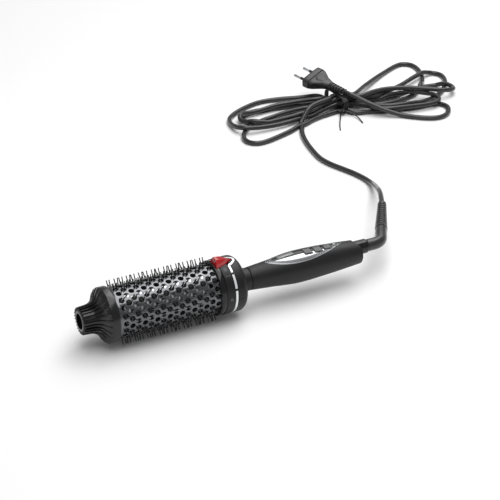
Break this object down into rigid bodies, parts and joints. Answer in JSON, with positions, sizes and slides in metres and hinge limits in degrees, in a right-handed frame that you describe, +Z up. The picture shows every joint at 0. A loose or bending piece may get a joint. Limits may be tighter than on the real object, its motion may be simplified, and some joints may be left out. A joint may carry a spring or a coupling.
{
  "type": "round barrel brush",
  "caption": "Heated round hair brush: perforated metal barrel with nylon bristles, fluted nose, soft grip with a control panel, swivelling mains lead tied in a hank.",
  "frame": {"origin": "on the floor below the middle of the brush, measured without the mains lead and what is on it", "axes": "+X along the brush axis from the nose to the lead, +Z up through the control panel, -Y the side the red release button leans to"},
  "size_m": [0.6931, 0.5115, 0.0657],
  "materials": {
    "charcoal": "moulded matte charcoal plastic",
    "gloss_black": "polished black plastic",
    "barrel_metal": "satin metal",
    "steel": "bright turned metal",
    "chrome": "polished chrome",
    "aluminium": "mill finish",
    "copper": "copper contact",
    "bristle_nylon": "black nylon",
    "red_lens": "red translucent faceted plastic",
    "soft_grip": "soft-touch coating",
    "panel_silver": "bright silver film with a fine diagonal hatch",
    "display_glass": "grey display window",
    "light_white": "white indicator light",
    "board_green": "circuit board",
    "keypad_rubber": "silicone",
    "heater_film": "amber insulation",
    "lead_pvc": "satin dark grey PVC",
    "tie_plastic": "black plastic-coated wire"
  },
  "bodies": {
    "lead": {"swivel_stem": "charcoal", "slip_ring_1": "copper", "slip_ring_2": "copper", "cord_elbow": "lead_pvc", "strain_relief": "lead_pvc", "cord": "lead_pvc", "cord_hank": "lead_pvc", "twist_tie": "tie_plastic", "plug_body": "lead_pvc", "plug_relief": "lead_pvc", "plug_pin_1": "steel", "plug_pin_2": "steel"},
    "handle": {"head_spigot": "aluminium", "chrome_ring": "chrome", "rear_collar_upper": "charcoal", "rear_collar_lower": "charcoal", "neck_sleeve": "charcoal", "grip": "soft_grip", "grip_chassis": "charcoal", "control_board": "board_green", "display_module": "display_glass", "keypad": "keypad_rubber", "panel_bezel": "chrome", "panel_insert_near": "panel_silver", "panel_insert_far": "panel_silver", "control_strip": "gloss_black", "display_lens": "display_glass", "status_light": "light_white", "end_collar": "gloss_black", "brush_block": "heater_film"},
    "head": {"nose_hub": "charcoal", "nose_screw": "steel", "barrel_tube": "barrel_metal", "bristle_strip_1": "bristle_nylon", "bristle_strip_2": "bristle_nylon", "bristle_strip_3": "bristle_nylon", "bristle_strip_4": "bristle_nylon", "bristle_strip_5": "bristle_nylon", "bristle_strip_6": "bristle_nylon", "bristle_strip_7": "bristle_nylon", "bristle_strip_8": "bristle_nylon", "bristle_strip_9": "bristle_nylon", "bristle_strip_10": "bristle_nylon", "heat_spreader_upper": "aluminium", "heat_spreader_lower": "aluminium", "ptc_heater": "heater_film", "temperature_sensor": "heater_film", "thermal_fuse": "aluminium", "barrel_lip": "gloss_black", "front_collar": "charcoal", "rear_hub": "charcoal"},
    "nose_cap": {"nose_cap": "charcoal"},
    "release": {"release_button": "red_lens"},
    "power_button": {"power_button": "gloss_black"},
    "minus_button": {"minus_button": "gloss_black"},
    "plus_button": {"plus_button": "gloss_black"}
  },
  "joints": [
    {"name": "cord_swivel", "type": "hinge", "parent": "lead", "child": "handle", "pos_m": [0.15, 0, 0.0359], "axis": [1, 0, 0], "continuous": true},
    {"name": "head_release", "type": "slide", "parent": "handle", "child": "head", "axis": [-1, 0, 0], "range_m": [0, 0.012]},
    {"name": "nose_twist", "type": "hinge", "parent": "head", "child": "nose_cap", "pos_m": [-0.14, 0, 0.032], "axis": [1, 0, 0], "range_deg": [0, 30]},
    {"name": "release_press", "type": "slide", "parent": "head", "child": "release", "axis": [0, 0.0958, -0.9954], "range_m": [0, 0.0009], "stiffness_N_per_m": 1500},
    {"name": "power_press", "type": "slide", "parent": "handle", "child": "power_button", "axis": [0, 0, -1], "range_m": [0, 0.0006], "stiffness_N_per_m": 800},
    {"name": "minus_press", "type": "slide", "parent": "handle", "child": "minus_button", "axis": [0, 0, -1], "range_m": [0, 0.0006], "stiffness_N_per_m": 800},
    {"name": "plus_press", "type": "slide", "parent": "handle", "child": "plus_button", "axis": [0, 0, -1], "range_m": [0, 0.0006], "stiffness_N_per_m": 800}
  ]
}
